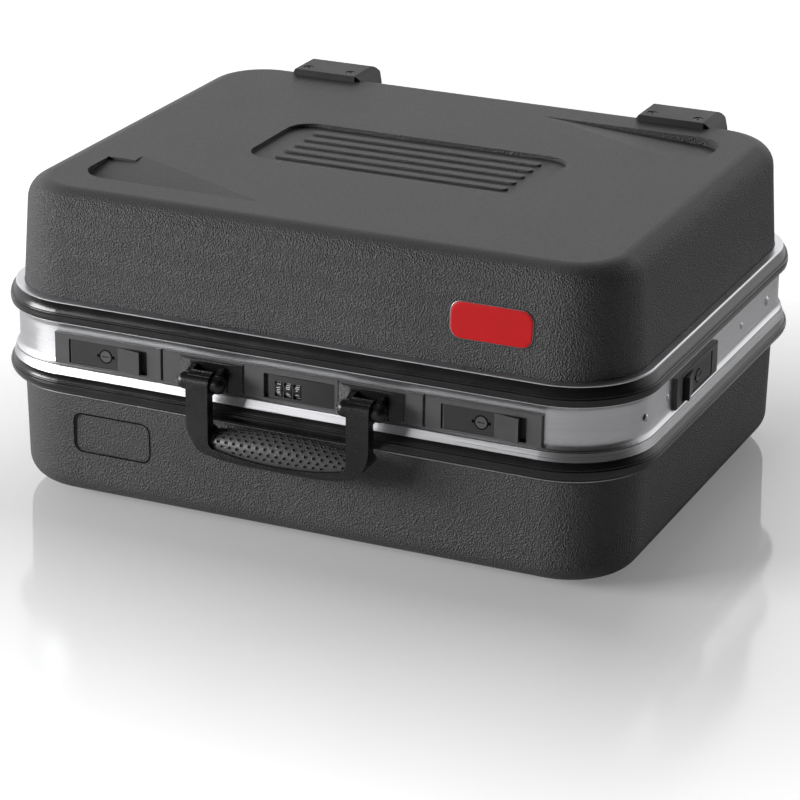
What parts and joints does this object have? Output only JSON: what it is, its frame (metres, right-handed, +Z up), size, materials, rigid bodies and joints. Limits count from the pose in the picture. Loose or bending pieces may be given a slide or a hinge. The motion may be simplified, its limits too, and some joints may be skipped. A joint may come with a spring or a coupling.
{
  "type": "hard tool case",
  "caption": "Hard case for tools: two moulded shells in aluminium frames, hinged at the back, with latches, a combination lock and a folding carry handle.",
  "frame": {"origin": "centre of the bounding box at rest, at the level of the feet that the case stands on", "axes": "+X along the case's width to its right, +Y to the back where the hinges are, +Z up; the handle and locks face -Y"},
  "size_m": [0.4998, 0.4238, 0.2388],
  "materials": {
    "shell": "fine pebbled moulded texture",
    "bead": "smooth semi-gloss extruded edging",
    "aluminium": "brushed, clear anodised",
    "gasket": "matt foam rubber",
    "hardware_plastic": "satin moulded",
    "handle_plastic": "satin moulded",
    "grip_pad": "soft pad with raised dots",
    "steel": "plated",
    "wheels": "black with white digits",
    "feet": "matt",
    "screws": "black zinc"
  },
  "bodies": {
    "base": {"base_shell": "shell", "base_frame": "aluminium", "base_bead": "bead", "left_hinge_base_leaf": "steel", "right_hinge_base_leaf": "steel", "left_hinge_pin": "steel", "right_hinge_pin": "steel", "lock_strikes": "steel", "base_feet": "feet", "front_pads": "feet", "base_foot_screws": "screws"},
    "lid": {"lid_shell": "shell", "lid_frame": "aluminium", "lid_bead": "bead", "gasket": "gasket", "left_hinge_lid_leaf": "steel", "right_hinge_lid_leaf": "steel", "combination_housing": "hardware_plastic", "left_handle_plate": "hardware_plastic", "right_handle_plate": "hardware_plastic", "left_handle_bracket": "handle_plastic", "right_handle_bracket": "handle_plastic", "left_handle_pin": "steel", "right_handle_pin": "steel", "lid_feet": "feet", "lid_foot_screws": "screws", "band_rivets": "aluminium", "front_left_lock_housing": "hardware_plastic", "front_left_flap_pin": "steel", "front_right_lock_housing": "hardware_plastic", "front_right_flap_pin": "steel", "side_left_lock_housing": "hardware_plastic", "side_left_flap_pin": "steel", "side_right_lock_housing": "hardware_plastic", "side_right_flap_pin": "steel"},
    "handle": {"handle": "handle_plastic", "grip_inlay": "grip_pad"},
    "combination_slide": {"combination_slide": "hardware_plastic", "combination_bolt": "steel", "wheel_axle": "steel"},
    "number_wheel_left": {"number_wheel_left": "wheels"},
    "number_wheel_middle": {"number_wheel_middle": "wheels"},
    "number_wheel_right": {"number_wheel_right": "wheels"},
    "front_left_flap": {"front_left_flap": "hardware_plastic"},
    "front_left_key_cylinder": {"front_left_key_cylinder": "screws"},
    "front_right_flap": {"front_right_flap": "hardware_plastic"},
    "front_right_key_cylinder": {"front_right_key_cylinder": "screws"},
    "side_left_flap": {"side_left_flap": "hardware_plastic"},
    "side_left_key_cylinder": {"side_left_key_cylinder": "screws"},
    "side_right_flap": {"side_right_flap": "hardware_plastic"},
    "side_right_key_cylinder": {"side_right_key_cylinder": "screws"}
  },
  "joints": [
    {"name": "lid_hinge", "type": "hinge", "parent": "base", "child": "lid", "pos_m": [0, 0.2075, 0.1075], "axis": [-1, 0, 0], "range_deg": [0, 95]},
    {"name": "handle_swing", "type": "hinge", "parent": "lid", "child": "handle", "pos_m": [0, -0.2034, 0.1205], "axis": [-1, 0, 0], "range_deg": [0, 95]},
    {"name": "combination_slide", "type": "slide", "parent": "lid", "child": "combination_slide", "axis": [-1, 0, 0], "range_m": [0, 0.0032]},
    {"name": "number_wheel_left", "type": "hinge", "parent": "combination_slide", "child": "number_wheel_left", "pos_m": [-0.0092, -0.183, 0.1191], "axis": [1, 0, 0], "continuous": true},
    {"name": "number_wheel_middle", "type": "hinge", "parent": "combination_slide", "child": "number_wheel_middle", "pos_m": [-0.002, -0.183, 0.1191], "axis": [1, 0, 0], "continuous": true},
    {"name": "number_wheel_right", "type": "hinge", "parent": "combination_slide", "child": "number_wheel_right", "pos_m": [0.0052, -0.183, 0.1191], "axis": [1, 0, 0], "continuous": true},
    {"name": "front_right_flap", "type": "hinge", "parent": "lid", "child": "front_right_flap", "pos_m": [0.1155, -0.1861, 0.12045], "axis": [0, 0, -1], "range_deg": [-3.5, 55]},
    {"name": "front_right_key", "type": "hinge", "parent": "front_right_flap", "child": "front_right_key_cylinder", "pos_m": [0.143, -0.1873, 0.12045], "axis": [0, -1, 0], "range_deg": [0, 90]},
    {"name": "front_left_flap", "type": "hinge", "parent": "lid", "child": "front_left_flap", "pos_m": [-0.1735, -0.1861, 0.12045], "axis": [0, 0, -1], "range_deg": [-3.5, 55]},
    {"name": "front_left_key", "type": "hinge", "parent": "front_left_flap", "child": "front_left_key_cylinder", "pos_m": [-0.146, -0.1873, 0.12045], "axis": [0, -1, 0], "range_deg": [0, 90]},
    {"name": "side_right_flap", "type": "hinge", "parent": "lid", "child": "side_right_flap", "pos_m": [0.2438, -0.0123, 0.12045], "axis": [0, 0, 1], "range_deg": [-3.5, 55]},
    {"name": "side_right_key", "type": "hinge", "parent": "side_right_flap", "child": "side_right_key_cylinder", "pos_m": [0.245, -0.0398, 0.12045], "axis": [1, 0, 0], "range_deg": [0, 90]},
    {"name": "side_left_flap", "type": "hinge", "parent": "lid", "child": "side_left_flap", "pos_m": [-0.2438, -0.0123, 0.12045], "axis": [0, 0, -1], "range_deg": [-3.5, 55]},
    {"name": "side_left_key", "type": "hinge", "parent": "side_left_flap", "child": "side_left_key_cylinder", "pos_m": [-0.245, -0.0398, 0.12045], "axis": [-1, 0, 0], "range_deg": [0, 90]}
  ]
}
